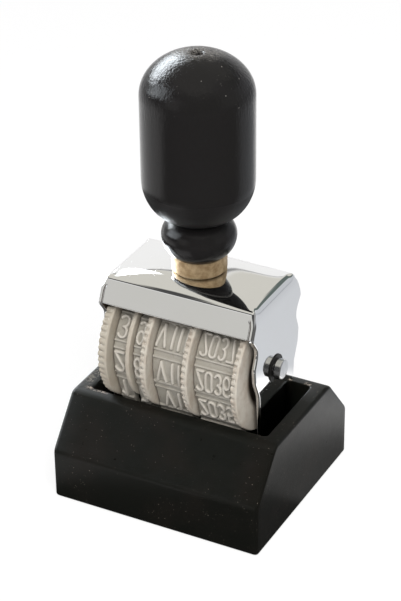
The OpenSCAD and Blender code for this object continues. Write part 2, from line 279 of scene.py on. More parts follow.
def dressed(name, node, soften):
    # a merged copy of a CAD node, with its edges softened
    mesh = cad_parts[node].data.copy()
    mesh.name = name
    work = bmesh.new()
    work.from_mesh(mesh)
    bmesh.ops.remove_doubles(work, verts=work.verts, dist=weldWithin)
    bmesh.ops.dissolve_limit(work, angle_limit=math.radians(1), verts=work.verts, edges=work.edges)
    bmesh.ops.recalc_face_normals(work, faces=work.faces)
    work.to_mesh(mesh)
    work.free()
    spots = np.empty(3 * len(mesh.vertices))
    mesh.vertices.foreach_get("co", spots)
    spots = spots.reshape(-1, 3) / mm
    if node.endswith("clip"):
        # thinner and a little smaller than the solid, on the same axle and plate
        out = np.abs(spots[:, 0]) - shell["half"]
        spots[:, 0] = np.sign(spots[:, 0]) * (shell["half"] + out * clips["thickness"])
        spots[:, 1:] = axleAt + (spots[:, 1:] - axleAt) * clips["size"]
    mesh.vertices.foreach_set("co", (spread(spots) * mm).ravel())
    mesh.materials.clear()
    sharp = 40
    piece = smoothed(name, mesh, sharp)
    bevel = piece.modifiers.new("soft edges", "BEVEL")
    bevel.width, bevel.segments = soften * mm, 2
    bevel.limit_method, bevel.angle_limit = "ANGLE", math.radians(sharp)
    return piece


def place(piece, body, slot, material, *nodes):
    piece.data.materials.append(material)
    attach(piece, body)
    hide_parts(*nodes)


# black wood: painted grain, dust specks, wear on the rims of the pocket, and a painted highlight at its back right
# corner

wood = {
    "black": colour(14, 15, 12), "brown": colour(21, 19, 16), "paleWearAndSheen": colour(170, 160, 148),
    "roughness": 0.24, "specular": 0.15, "dust": 0.4, "dull": 0.2,
    "grain": 1.6, "alongGrain": (0.12, 1, 1), "grainDepth": 0.03, "skin": 5.0, "skinDepth": 0.012,
    # worn places of the top, one of them partly a painted highlight: left, right and softness; front, back and
    # softness; strength
    "chipsAndHighlight": [
        ((-20.4, -15.4, 0.6), (-10.8, -9.8, 0.15), 1.6),  # front left corner of the pocket
        ((-22.4, -20.2, 0.25), (-9.0, 8.0, 2.0), 0.35),  # left of the pocket
        ((17.8, 19.3, 0.3), (10.2, 11.0, 0.2), 0.9),  # back right corner of the pocket: partly a chip, partly a painted highlight on the rim's edge
        ((14.0, 21.5, 1.5), (10.2, 11.4, 0.3), 0.05),  # behind the pocket
    ],
}


def woodRecipe(bench):
    x, y, z = bench.split(bench.spot())
    grain = bench.noise(wood["grain"], 5, 0.6, bench.spot(wood["alongGrain"]), 0.6)
    cloud = bench.noise(0.09, 3)
    dust = bench.span(bench.noise(3.1, 1), 0.745, 0.78) * bench.span(cloud, 0.42, 0.6)
    crumbs = bench.span(bench.noise(1.9, 4, 0.7), 0.47, 0.6)
    top = bench.span(z, rest["height"] - 0.8, rest["height"] - 0.2)
    wearAndHighlight = 0
    for wide, deep, strength in wood["chipsAndHighlight"]:
        wearAndHighlight = wearAndHighlight + bench.within(x, *wide) * bench.within(y, *deep) * strength
    wearAndHighlight = wearAndHighlight * top * crumbs
    paint = bench.mixed(bench.span(cloud, 0.4, 0.75), wood["black"], wood["brown"])
    paint = bench.mixed(dust * wood["dust"], paint, wood["paleWearAndSheen"])
    return bench.shader(
        Specular_IOR_Level=wood["specular"],
        Base_Color=bench.mixed(bench.span(wearAndHighlight, 0.0, 0.9), paint, wood["paleWearAndSheen"]),
        Roughness=wood["roughness"] + 0.12 * bench.noise(0.5, 4) + 0.3 * wearAndHighlight + wood["dull"] * top,
        Normal=bench.bump(
            grain, wood["grainDepth"], 0.6, bench.bump(bench.noise(wood["skin"], 3), wood["skinDepth"], 0.5)))


rest = {
    "halfLength": 22.65, "halfDepth": 20.5, "topDepth": 12.2, "side": 10.9, "height": 20.8,
    "edge": 2.8, "shoulder": 2.2, "foot": 0.8, "ends": 0.7, "corner": 0.7,
    "pocket": (19.45, 10.0), "pocketCorner": 0.8, "rim": 0.35,
    "shelf": 7.4, "well": 4.4, "wellHalf": 14.7,
}


def ring(halfX, halfY, radius):
    # a rectangle with rounded corners as four strips of points, front and back from the left
    # and the two ends from the front; the stations along X are shared by every ring
    t = np.linspace(0, np.pi / 2, 7)
    bend = np.column_stack([halfX - radius + radius * np.sin(t), halfY - radius + radius * np.cos(t)])
    step = rest["wellHalf"] + np.array([0.02, 0.3, 1.9, 3.5])  # just past the well's wall, then outward
    inside = np.linspace(-rest["wellHalf"] + 0.3, rest["wellHalf"] - 0.3, 25)
    wall = rest["wellHalf"] - 0.02
    stations = np.concatenate([-step[::-1], [-wall], inside, [wall], step])
    along = np.concatenate([-bend[::-1, 0], stations, bend[:, 0]])
    deep = np.concatenate([bend[::-1, 1], np.full(len(stations), halfY), bend[:, 1]])
    across = np.linspace(-halfY + radius, halfY - radius, 31)
    return along, deep, across


def loopOf(halfX, halfY, radius):
    along, deep, across = ring(halfX, halfY, radius)
    end = np.full(len(across) - 2, halfX)
    return np.column_stack([
        np.concatenate([along, end, along[::-1], -end]),
        np.concatenate([-deep, across[1:-1], deep[::-1], across[1:-1][::-1]])])


def floorOf(halfX, halfY, radius, heights):
    # the same outline filled with a grid, whose height depends on the place along X
    along, deep, across = ring(halfX, halfY, radius)
    share = (across / across[-1])[None]
    y = deep[:, None] * share
    return np.stack([along[:, None] + 0 * y, y, heights(along)[:, None] + 0 * y], -1)


def makeRest():
    # rings of a rounded rectangle: up the outside, over the rim and down into the pocket
    r = rest
    corners = [(0, 0), (r["halfDepth"], 0), (r["halfDepth"], r["side"]), (r["topDepth"], r["height"])]
    outside = rounded(
        corners + [(0, r["height"])], [0, r["foot"], r["shoulder"], r["edge"], 0], 8, support=0.35)[2:-2]
    rows = []
    for depth, z in outside:
        low, high = max(r["ends"] - z, 0), max(z - r["height"] + r["ends"], 0)
        inset = r["ends"] - math.sqrt(r["ends"] ** 2 - min(max(low, high), r["ends"]) ** 2)
        rows.append((r["halfLength"] - inset, depth, r["corner"], z))
    pocketX, pocketY = r["pocket"]
    bend = arc((r["rim"], -r["rim"]), (r["rim"], r["rim"]), 90, 180, 5)
    bend = np.vstack([[r["rim"] + 0.3, 0], bend])  # the first point keeps the land flat
    rows += [(pocketX + a, pocketY + a, r["pocketCorner"] + a, r["height"] + b) for a, b in bend]
    rows.append((pocketX, pocketY, r["pocketCorner"], r["shelf"] + 6))
    skin = []
    for *plan, z in rows:
        loop = loopOf(*plan)
        skin.append(np.column_stack([loop, np.full(len(loop), z)]))
    heights = lambda x: np.where(np.abs(x) < r["wellHalf"], r["well"], r["shelf"])
    last = loopOf(pocketX, pocketY, r["pocketCorner"])
    skin.append(np.column_stack([last, heights(last[:, 0])]))
    under = rows[0]
    return surface("rest_block", [
        (np.array(skin), False, True),
        (floorOf(*under[:3], lambda x: 0 * x + under[3]), False, False),
        (floorOf(pocketX, pocketY, r["pocketCorner"], heights), False, False)])


place(makeRest(), "rest", "black_wood", finish("black painted wood", woodRecipe), "rest")
print("rest is made")


# chromed sheet: cap, two lips and two side plates, folded from one piece

chrome = {
    "bright": grey(0.86), "warm": (0.84, 0.835, 0.82, 1.0), "gapShadeTone": colour(52, 42, 33),
    "roughness": 0.035, "smear": 0.16, "ripple": 0.13, "rippleDepth": 0.05,
}


def chromeRecipe(bench):
    smear = bench.noise(chrome["smear"], 3, 0.5)
    spots = bench.span(bench.noise(1.4, 2), 0.66, 0.74)
    # the inner faces of the plates are painted dull and dark: painted shade for the gap beside the end wheel
    x, _, z = bench.split(bench.spot())
    top = shell["capHeight"]
    level = shell["half"] - shell["sheet"] + shell["spread"] * bench.span(z, top - 0.1, top - 2.9)
    gapShade = bench.within(bench.lone("ABSOLUTE", x) - level, -0.12, 0.12, 0.06) * bench.span(z, top - 1, top - 1.6)
    return bench.shader(
        Base_Color=bench.mixed(gapShade, bench.mixed(smear, chrome["bright"], chrome["warm"]), chrome["gapShadeTone"]),
        Metallic=1 - gapShade,
        Roughness=chrome["roughness"] + 0.05 * bench.span(smear, 0.45, 0.7) + 0.12 * spots + 0.4 * gapShade,
        Normal=bench.bump(bench.noise(chrome["ripple"], 2), chrome["rippleDepth"], 0.35))


shell = {
    "half": 16.25, "sheet": 0.9, "capHeight": 46.6, "capDepth": 8.65, "lipBottom": 41.7, "lipDepth": 10.85,
    "bend": 0.9, "sideBend": 1.2, "lipCorner": 0.2, "rimRound": 0.22,
    "crown": 1.91, "crownPowers": (2.0, 4.0), "seat": 1.7, "seamDepth": 0.22, "seamTop": 44.9,
    # the free front outline of a plate, downward: depth, height and rounding of each corner
    "outline": [(8.1, 38.0, 3.0), (9.6, 34.3, 1.0), (9.3, 31.2, 1.0), (7.7, 27.6, 2.5), (6.0, 7.4, 0.9)],
    "spread": 0.55, "lipShare": 0.55, "axleHole": 2.13,
}


def capSkin(inset):
    # points and outward normals along the cap from the back lip to the front one, moved in by inset
    s = shell
    low, top, z0, z1 = s["lipDepth"], s["capDepth"], s["lipBottom"], s["capHeight"]
    lip = np.array([low - top, z1 - z0])
    lip = lip / np.hypot(*lip)
    lean = math.degrees(math.atan2(low - top, z1 - z0))
    reach = s["bend"] * math.tan(math.radians(90 - lean) / 2)
    start = np.array([low, z0]) + np.array([-lip[0], lip[1]]) * s["rimRound"]
    end = np.array([top, z1]) + np.array([lip[0], -lip[1]]) * reach
    side = start + (end - start) * np.linspace(0, 1, 12, endpoint=False)[:, None]
    bend = arc((top - reach, z1 - s["bend"]), (s["bend"], s["bend"]), lean, 90, 9)
    across = np.linspace(top - reach, -top + reach, 34)[1:-1]
    half = np.vstack([side, bend])
    normals = np.vstack([np.repeat([[lip[1], lip[0]]], 12, 0), arc((0, 0), (1, 1), lean, 90, 9)])
    flat = np.column_stack([across, np.full(len(across), z1)])
    points = np.vstack([half, flat, half[::-1] * [-1, 1]])
    normals = np.vstack([normals, np.repeat([[0.0, 1.0]], len(across), 0), normals[::-1] * [-1, 1]])
    return points - normals * inset, normals


def smoothStep(value, low, high):
    t = np.clip((value - low) / (high - low), 0, 1)
    return t * t * (3 - 2 * t)


def spread(points):
    # the plates stand out a little from the ends of the cap, the ends of the lips about half as far,
    # and what the plates carry moves with them:
    # x + spread * f(|x|) * g(distance below the cap) * h(distance from the lips)
    s = shell
    x, y, z = points[..., 0], np.abs(points[..., 1]), points[..., 2]
    top, low = np.array([s["capDepth"], s["capHeight"]]), np.array([s["lipDepth"], s["lipBottom"]])
    along = low - top
    t = np.clip(((y - top[0]) * along[0] + (z - top[1]) * along[1]) / (along @ along), 0, 1)
    away = np.hypot(y - top[0] - t * along[0], z - top[1] - t * along[1])
    share = smoothStep(np.abs(x), s["half"] - 1.35, s["half"] - 0.95) * smoothStep(s["capHeight"] - z, 0.1, 2.9)
    share = share * (s["lipShare"] + (1 - s["lipShare"]) * smoothStep(away, 0.1, 0.8))
    points[..., 0] = x + np.sign(x) * s["spread"] * share
    return points


def crowned(points):
    # the top rises by crown (1 - x^a)(1 - y^b) from its straight edges, and is pressed flat
    # at the height of the seat; x and y count from 0 in the middle to 1 at the edges
    s = shell
    x = np.clip(np.abs(points[..., 0]) / s["half"], 0, 1)
    y = np.clip(np.abs(points[..., 1]) / s["capDepth"], 0, 1)
    rise = s["crown"] * (1 - x ** s["crownPowers"][0]) * (1 - y ** s["crownPowers"][1])
    soft = 0.12
    rise = s["seat"] - soft * np.logaddexp(0, (s["seat"] - rise) / soft) + soft * np.logaddexp(0, -rise / soft)
    points[..., 2] += np.maximum(rise, 0) * smoothStep(points[..., 2], s["lipBottom"] + 1, s["capHeight"] - 1.3)
    return points


def makeShell():
    # an outer and an inner skin on the same stations, closed by a rounded strip round every cut edge
    s = shell
    quarter = np.radians(np.linspace(0, 90, 9))[1:]
    # the seam between a lip and a plate shows as a fine groove, so the stations crowd there
    seamAt = (s["half"] - s["sheet"]) / (s["half"] - s["lipCorner"])
    crowd = seamAt + np.array([-0.009, -0.0028, 0, 0.0028, 0.009])
    inner = np.concatenate([np.linspace(0, 0.935, 30), crowd, [0.985, 1.0]])
    stations = np.concatenate([-inner[:0:-1], inner])
    atSeam = np.abs(np.abs(stations) - seamAt) < 1e-6

    def capGrid(inset, half, onLips, onBends, onTop):
        points, normals = capSkin(inset)
        up = (points[:, 1] - s["lipBottom"]) / (s["capHeight"] - s["lipBottom"])
        amid = smoothStep(np.abs(points[:, 0]), s["capDepth"] - 0.4, s["capDepth"] - 1.6)
        radius = onLips + (onBends - onLips) * smoothStep(up, 0.55, 0.95) + (onTop - onBends) * amid
        radius = radius[:, None]
        x = stations[None] * (half - radius)
        depth = 0 * x
        if inset == 0:
            groove = smoothStep(points[:, 1:], s["seamTop"] + 0.3, s["seamTop"] - 0.8)
            depth = s["seamDepth"] * groove * atSeam[None]
        endX = half - radius + radius * np.sin(quarter)[None]
        endDepth = radius * (1 - np.cos(quarter))[None]
        x = np.hstack([-endX[:, ::-1], x, endX])
        depth = np.hstack([endDepth[:, ::-1], depth, endDepth])
        y, z = (points[:, k:k + 1] - normals[:, k:k + 1] * depth for k in (0, 1))
        return crowned(np.stack([x, y, z], -1))

    outside = capGrid(0.0, s["half"], s["lipCorner"], 0.7, s["sideBend"])
    inside = capGrid(s["sheet"], s["half"] - s["sheet"], 0.06, 0.3, 0.9)

    # the free outline of a side plate, from the front lip down to the foot and up to the back lip
    q = s["rimRound"]
    front = [(-s["capDepth"], s["capHeight"]), (-s["lipDepth"], s["lipBottom"])]
    front += [(-a, b) for a, b, _ in s["outline"]]
    radii = [0, s["bend"]] + [c for _, _, c in s["outline"]]
    outline = rounded(front + [(-a, b) for a, b in front[::-1]], radii + radii[::-1], 10, support=0.4)
    pace = np.concatenate([[0], np.cumsum(np.hypot(*np.diff(outline, axis=0).T))])
    even = np.unique(np.concatenate([pace, np.arange(0, pace[-1], 0.7)]))
    even = even[np.concatenate([[True], np.diff(even) > 0.05])]
    outline = np.column_stack([np.interp(even, pace, outline[:, k]) for k in (0, 1)])
    run = np.gradient(outline, axis=0)
    outward = np.column_stack([run[:, 1], -run[:, 0]]) / np.hypot(*run.T)[:, None]
    free = outline - outward * q
    keep = outline[:, 1] < s["lipBottom"] - 0.4
    free, outward = free[keep], outward[keep]

    turn = np.radians(np.linspace(0, 90, 5))
    inward, proud = q * (1 - np.cos(turn)), q * np.sin(turn)
    through = np.concatenate([inward, s["sheet"] - inward[::-1]])[:, None, None] / s["sheet"]
    proud = np.concatenate([proud, proud[::-1]])[:, None, None]

    def cutEdge(first, second, direction):
        # goes through the sheet's thickness from first to second, a quarter round at both
        return first[None] + (second - first)[None] * through + direction[None] * proud

    lean = np.array([s["lipDepth"] - s["capDepth"], s["lipBottom"] - s["capHeight"]])
    lean = lean / np.hypot(*lean)
    corner = {}
    for row, side, near in ((-1, -1, outward[0]), (0, 1, outward[-1])):
        down = np.array([side * lean[0], lean[1]])
        corner[row] = (down + near) / np.hypot(*(down + near))
    grids = [(outside, False, False), (inside, False, False)]
    for row, side in ((-1, -1), (0, 1)):
        down = np.tile([0, side * lean[0], lean[1]], (outside.shape[1], 1))
        down[[0, -1], 1:] = corner[row]
        grids.append((cutEdge(outside[row], inside[row], down), False, False))
    # rings of a plate from its outline to the axle hole, closest where the plate steps outward
    share = np.r_[0, 0.012, np.linspace(0.03, 0.2, 10), np.linspace(0.26, 0.9, 9), 0.97, 1.0][:, None]
    for column, sign in ((0, -1), (-1, 1)):
        skins, edges = [], []
        for skin, x in ((outside, s["half"]), (inside, s["half"] - s["sheet"])):
            edge = np.vstack([skin[:, column, 1:], free])
            ray = edge - axleAt
            reach = np.hypot(*ray.T)
            length = reach * (1 - share) + s["axleHole"] * share
            yz = axleAt + (ray / reach[:, None])[None] * length[..., None]
            skins.append(np.concatenate([np.full(yz.shape[:2] + (1,), sign * x), yz], -1))
            edges.append(np.vstack([skin[-1:, column], skins[-1][0][len(skin):], skin[:1, column]]))
            grids.append((skins[-1], False, True))
        away = np.vstack([corner[-1], outward, corner[0]])
        away = np.column_stack([0 * away[:, 0], away])
        grids.append((cutEdge(edges[0], edges[1], away), False, False))
        grids.append((np.stack([skins[0][-1], skins[1][-1]]), False, True))
    return surface("folded_cap_and_plates", [(spread(points), *ends) for points, *ends in grids], 50)


place(makeShell(), "stamp", "chrome_sheet", finish("chromed sheet", chromeRecipe), "frame_shell")
print("chromed cap and plates are made")


# moulded wheels: hubs with toothed thumb rims

ivory = {
    "light": colour(184, 178, 167), "shade": colour(167, 156, 143), "leftShade": colour(158, 150, 135),
    "hollowShade": colour(62, 50, 40), "fleck": colour(70, 62, 52), "roughness": 0.42, "grain": 2.5, "grainDepth": 0.03,
}


def ivoryRecipe(bench):
    cloud = bench.noise(0.35, 4, 0.6)
    fleck = bench.span(bench.noise(2.2, 1), 0.76, 0.79)
    tint = bench.mixed(bench.span(cloud, 0.35, 0.7), ivory["light"], ivory["shade"])
    # the left wheels are painted a little darker and yellower: painted shade, where the cap's left end keeps light
    # off them
    x, y, z = bench.split(bench.spot())
    tint = bench.mixed(bench.span(x, -4, -13) * 0.6, tint, ivory["leftShade"])
    # the hollow of an end wheel is painted dark toward its middle: painted shade of the narrow gap beside the
    # plate
    radius = ((y - axleAt[0]) ** 2 + (z - axleAt[1]) ** 2) ** 0.5
    floor = wheels["hollowAt"]
    hollow = bench.span(bench.lone("ABSOLUTE", x), floor - 0.2, floor - 0.1)
    hollow = hollow * bench.span(radius, wheels["hollow"] + 1.4, wheels["hollow"])
    tint = bench.mixed(hollow * 0.9, tint, ivory["hollowShade"])
    return bench.shader(
        Base_Color=bench.mixed(fleck * 0.6, tint, ivory["fleck"]),
        Roughness=ivory["roughness"] + 0.15 * cloud,
        Normal=bench.bump(bench.noise(ivory["grain"], 3), ivory["grainDepth"], 0.5))


wheels = {
    "bore": 2.15, "boss": 4.4, "hollow": 7.5, "hub": 9.1, "guide": 12.0, "rim": 13.1,
    "hollowAt": 13.8, "depth": 0.65, "steps": 14, "edge": 0.28, "lesserEdge": 0.12,
    # sections: place along the axle and the radius there, once round
    "tens_wheel": [
        (-14.9, "bore"), (-14.9, "boss"), (-13.8, "boss"), (-13.8, "hollow"), (-15.5, "hollow"), (-15.5, "rim"),
        (-13.5, "rim"), (-13.5, "hub"), (-10.0, "hub"), (-10.0, "guide"), (-9.1, "guide"), (-9.1, "bore")],
    "units_wheel": [(-8.95, "bore"), (-8.95, "hub"), (-6.2, "hub"), (-6.2, "rim"), (-4.8, "rim"), (-4.8, "bore")],
    "month_wheel": [(-4.65, "bore"), (-4.65, "hub"), (2.8, "hub"), (2.8, "rim"), (4.2, "rim"), (4.2, "bore")],
    "year_wheel": [
        (4.35, "bore"), (4.35, "hub"), (13.5, "hub"), (13.5, "rim"), (14.9, "rim"), (14.9, "hollow"),
        (13.8, "hollow"), (13.8, "boss"), (14.9, "boss"), (14.9, "bore")],
}


def makeWheel(node):
    # the section is carried round the axle; past the root circle its radius is
    # root + (r - root) * t, where t rises and falls once for each tooth
    w = wheels
    edges = {"bore": 0, "rim": w["edge"], "guide": w["edge"]}
    profile = rounded(
        [(x, w[r]) for x, r in w[node]], [edges.get(r, w["lesserEdge"]) for x, r in w[node]],
        5, closed=True, support=0.12)
    count = teeth * w["steps"]
    angle = np.linspace(0, 2 * np.pi, count, endpoint=False)
    wave = 0.5 + 0.5 * np.cos(angle * teeth)
    tooth = np.clip(1.25 * wave ** 0.75, 0, 1) - 0.08 * (1 - wave)
    # no two teeth came out of the mould quite alike
    number = np.round(angle * teeth / (2 * np.pi)) % teeth
    tooth = tooth * (0.84 + 0.16 * np.sin(number * 2.3) * np.sin(number * 5.1 + 1))
    root = w["rim"] - w["depth"]
    x, r = (np.tile(profile[:, k][:, None], (1, count)) for k in (0, 1))
    # the gaps are cut at the left edge of the rim and run out towards its right side
    fill = smoothStep(x - x[r > root].min(), 0.35, 0.8)
    tooth = tooth[None] + (1 - tooth[None]) * fill
    toothed = np.where(r > root, root + (r - root) * tooth, r)
    points = np.stack([x, axleAt[0] + toothed * np.cos(angle), axleAt[1] + toothed * np.sin(angle)], -1)
    return surface(node + "_moulding", [(points, True, True)], 42, weld=False)


ivoryPlastic = finish("ivory moulded plastic", ivoryRecipe)
for node in ("tens_wheel", "units_wheel", "month_wheel", "year_wheel"):
    place(makeWheel(node), node, "ivory_plastic", ivoryPlastic, node)
print("thumb wheels are made")


# rubber bands: raised type, upside down as on any stamp, and a pair of ribs between the rows

rubber = {
    "base": colour(151, 147, 138), "raised": colour(184, 179, 170), "grimeAndShade": colour(112, 102, 90),
    "roughness": 0.55,
}


def rubberRecipe(bench):
    relief = bench.node("Attribute", {"attribute_name": "relief"}, output="Fac")
    cloud = bench.noise(0.5, 4, 0.6)
    stain = bench.span(bench.noise(0.9, 4, 0.65), 0.52, 0.72)
    # painted shade and real grime: the ground between the raised type is darker than the type, and stains gather
    # low down in the recesses
    tint = bench.mixed(bench.span(relief, 0.25, 0.85), rubber["base"], rubber["raised"])
    tint = bench.mixed(stain * 0.3 * (1 - bench.span(relief, 0.3, 0.8)), tint, rubber["grimeAndShade"])
    return bench.shader(
        Base_Color=bench.mixed(bench.span(cloud, 0.4, 0.8) * 0.25, tint, rubber["grimeAndShade"]),
        Roughness=rubber["roughness"] + 0.15 * cloud,
        Normal=bench.bump(bench.noise(1.8, 4), 0.04, 0.5))


bands = {
    "play": 0.2, "thickness": 1.2, "step": 0.12, "cells": 12, "rowsAhead": 4,
    # the hub and the two rounded edges of the platen, with their radii
    "turns": [(axleAt, wheels["hub"]), ((-2.5, 9.5), 1.2), ((2.5, 9.5), 1.2)],
    "ribHeight": 0.35, "ribHalf": 0.2, "ribSpacing": 1.5, "edge": 0.2,
    "typeHeight": 4.6, "relief": 0.7, "ridge": 0.13, "flank": 0.42,
    # left and right side, width of a glyph, gap between glyphs, turn of the whole band in degrees
    "tens_band": (-13.5, -10.0, 2.3, 0.3, -3.0), "units_band": (-9.1, -6.2, 1.8, 0.2, -5.0),
    "month_band": (-4.8, 2.8, 2.3, 1.0, -1.3), "year_band": (4.2, 13.5, 1.75, 0.2, 0.7),
}

romans = ["I", "II", "III", "IV", "V", "VI", "VII", "VIII", "IX", "X", "XI", "XII"]


def rowText(node, k):
    # the text of row k, counted downward from the row that faces the thumb
    return {
        "tens_band": str((2 - k) % 4), "units_band": str((8 - k) % 10),
        "month_band": romans[(6 - k) % 12], "year_band": str(2036 - k),
    }[node]


def strokes(glyph, halfWidth, halfHeight):
    # centre lines of a glyph as lists of points
    w, h = halfWidth, halfHeight
    up, mid = h - w, 0.5 * h

    def oval(y, high, start, end):
        return arc((0, y), (w, high), start, end, 20)

    def bow(y, start, end):
        return arc((0, y), (w, w), start, end, 12)

    shapes = {
        "0": [np.vstack([bow(up, 0, 180), bow(-up, 180, 360), [(w, up)]])],
        "1": [[(-0.7 * w, 0.62 * h), (0.15 * w, h), (0.15 * w, -h)]],
        "2": [np.vstack([bow(up, 165, -25), [(-w, -h), (w, -h)]])],
        "3": [oval(mid, mid, 150, -90), oval(-mid, mid, 90, -150)],
        "4": [[(0.45 * w, -h), (0.45 * w, h), (-w, -0.4 * h), (w, -0.4 * h)]],
        "5": [[(0.85 * w, h), (-0.8 * w, h), (-0.8 * w, 0.1 * h)], oval(-0.42 * h, 0.58 * h, 140, -145)],
        "6": [np.vstack([bow(up, 25, 180), [(-w, -0.4 * h)]]), oval(-0.42 * h, 0.58 * h, 0, 360)],
        "7": [[(-w, h), (w, h), (-0.25 * w, -h)]],
        "8": [arc((0, mid), (0.88 * w, mid), 0, 360, 20), oval(-mid, mid, 0, 360)],
        "9": [np.vstack([bow(-up, 205, 360), [(w, 0.4 * h)]]), oval(0.42 * h, 0.58 * h, 0, 360)],
        "I": [[(0, -h), (0, h)]],
        "V": [[(-w, h), (0, -h), (w, h)]],
        "X": [[(-w, h), (w, -h)], [(-w, -h), (w, h)]],
    }
    return [np.array(line, float) for line in shapes[glyph]]


def distance(x, y, lines):
    # shortest distance from each place to any of the lines
    nearest = np.full(x.shape, 1e9)
    for line in lines:
        a, b = line[:-1], line[1:]
        d = b - a
        t = ((x[..., None] - a[:, 0]) * d[:, 0] + (y[..., None] - a[:, 1]) * d[:, 1]) / (d ** 2).sum(1)
        t = np.clip(t, 0, 1)
        away = np.hypot(x[..., None] - a[:, 0] - t * d[:, 0], y[..., None] - a[:, 1] - t * d[:, 1])
        nearest = np.minimum(nearest, away.min(-1))
    return nearest


def bandPath():
    # bent and straight stretches of the loop: start along the outer face, length, centre and radius of
    # the turn, angle of the normal where it starts, and the angle it turns through, 0 if straight
    turns = bands["turns"]
    out = bands["play"] + bands["thickness"]
    leave, straights = [], []
    for (centre, radius), (other, otherRadius) in zip(turns, turns[1:] + turns[:1]):
        y, z = np.subtract(other, centre)
        lean = math.acos((radius - otherRadius) / math.hypot(y, z))
        leave.append(math.degrees(math.atan2(z, y) - lean))
        straights.append(math.sqrt(y ** 2 + z ** 2 - (radius - otherRadius) ** 2))
    pieces, s = [], 0.0
    for i, (centre, radius) in enumerate(turns):
        start = leave[i - 1]
        swing = (leave[i] - start) % 360
        length = (radius + out) * math.radians(swing)
        pieces.append((s, length, centre, radius, start, swing))
        pieces.append((s + length, straights[i], centre, radius, leave[i], 0))
        s += length + straights[i]
    return pieces, s


def bandFrame(pieces, s):
    # foot point on what the band runs over, and outward normal, for each place along its outer face
    foot, normal = np.zeros((len(s), 2)), np.zeros((len(s), 2))
    for begin, length, centre, radius, start, swing in pieces:
        here = (s >= begin - 1e-9) & (s <= begin + length + 1e-9)
        t = (s[here] - begin) / length
        angle = np.radians(start + swing * t)
        n = np.column_stack([np.cos(angle), np.sin(angle)])
        along = np.column_stack([-n[:, 1], n[:, 0]]) * (t * length)[:, None]
        foot[here] = np.array(centre) + radius * n + along * (swing == 0)
        normal[here] = n
    return foot, normal


def layout(text, width, gap):
    # glyphs of a row from left to right with their middle and half width
    widths = [0.45 if glyph == "I" else width for glyph in text]
    ends = np.cumsum(widths) + gap * np.arange(len(text))
    return [(glyph, end - wide / 2 - ends[-1] / 2, wide / 2) for glyph, end, wide in zip(text, ends, widths)]


def reliefOf(node, face, local, pitch):
    # height of the type and ribs over the face; local is the place along the band, from row 0
    b = bands
    grow = np.zeros((len(local), len(face)))
    for cell in range(b["cells"]):
        for side in (-0.5, 0.5):
            away = np.abs(local - (b["rowsAhead"] + 1.5 - cell) * pitch - side * b["ribSpacing"])
            rib = b["ribHeight"] * smoothStep(away, b["ribHalf"] + 0.12, b["ribHalf"] - 0.05)
            grow = np.maximum(grow, rib[:, None])
    centreX = (face[0] + face[-1]) / 2
    halfHeight = (b["typeHeight"] - 0.45) / 2
    for k in range(-5, 6):
        near = np.abs(local - k * pitch) < pitch / 2
        for glyph, middle, halfWidth in layout(rowText(node, k), *b[node][2:4]):
            across = face - centreX - middle
            columns = np.abs(across) < halfWidth + 0.7
            lines = strokes(glyph, max(halfWidth - 0.22, 0.01), halfHeight)
            x, y = np.meshgrid(across[columns], (local - k * pitch)[near])
            ridge = b["relief"] * smoothStep(distance(x, y, lines), b["flank"], b["ridge"])
            spot = np.ix_(near, columns)
            grow[spot] = np.maximum(grow[spot], ridge)
    return grow


def makeBand(node):
    b = bands
    left, right, _, _, lead = b[node]
    x0, x1 = left + b["play"], right - b["play"]
    pieces, whole = bandPath()
    out = b["play"] + b["thickness"]

    # row 0 faces the thumb, and a later row lies on the middle of the platen
    start, length, _, _, angle, swing = pieces[0]
    front = start + length * (180 - angle) / swing
    platen = pieces[3][0] + pieces[3][1] / 2
    pitch = (platen - front) / b["rowsAhead"]
    shift = -math.radians(lead) * (b["turns"][0][1] + out)
    s = np.linspace(0, whole, int(whole / b["step"]), endpoint=False)
    local = (s - front - shift + whole / 2) % whole - whole / 2

    # the face from left to right, with rounded edges
    inset = np.array([0.0, 0.05, 0.12, b["edge"]])
    middle = np.linspace(x0 + 0.32, x1 - 0.32, int((x1 - x0 - 0.64) / b["step"]) + 2)
    face = np.concatenate([x0 + inset, middle, x1 - inset[::-1]])
    fromEdge = np.minimum(face - x0, x1 - face)
    short = np.clip(b["edge"] - fromEdge, 0, b["edge"])
    edgeDrop = b["edge"] - np.sqrt(np.maximum(b["edge"] ** 2 - short ** 2, 0))
    grow = reliefOf(node, face, local, pitch)

    # once round the section: over the face and back along the inside
    sides = np.array([0.72, 0.35])
    x = np.concatenate([face, [x1, x1], np.linspace(x1, x0, 9), [x0, x0]])
    base = np.concatenate([out - edgeDrop, sides, np.full(9, b["play"]), sides[::-1]])
    height = np.tile(base, (len(s), 1))
    height[:, :len(face)] += grow * smoothStep(fromEdge, 0.0, 0.12)
    relief = np.zeros_like(height)
    relief[:, :len(face)] = grow / b["relief"]
    foot, normal = bandFrame(pieces, s)
    yz = foot[:, None] + normal[:, None] * height[..., None]
    points = np.concatenate([np.tile(x, (len(s), 1))[..., None], yz], -1)
    return surface(node + "_with_type", [(points, True, True)], 60, weld=False, relief=relief)


greyRubber = finish("grey moulded rubber", rubberRecipe)
for node in ("tens_band", "units_band", "month_band", "year_band"):
    place(makeBand(node), "stamp", "grey_rubber", greyRubber, node)
print("rubber bands are made")


# turned handle: a bead, a neck and a round grip, lacquered black

lacquer = {
    "black": colour(26, 26, 25), "warm": colour(28, 26, 27), "scuffAndSheen": colour(176, 172, 166),
    "roughness": 0.1, "specular": 0.17, "streak": 1.9, "streakDepth": 0.11, "grain": 4.5, "grainDepth": 0.03,
    "beadSpan": (51.5, 58.5), "neckSpan": (59, 66.5), "domeFrom": (80, 86),
}


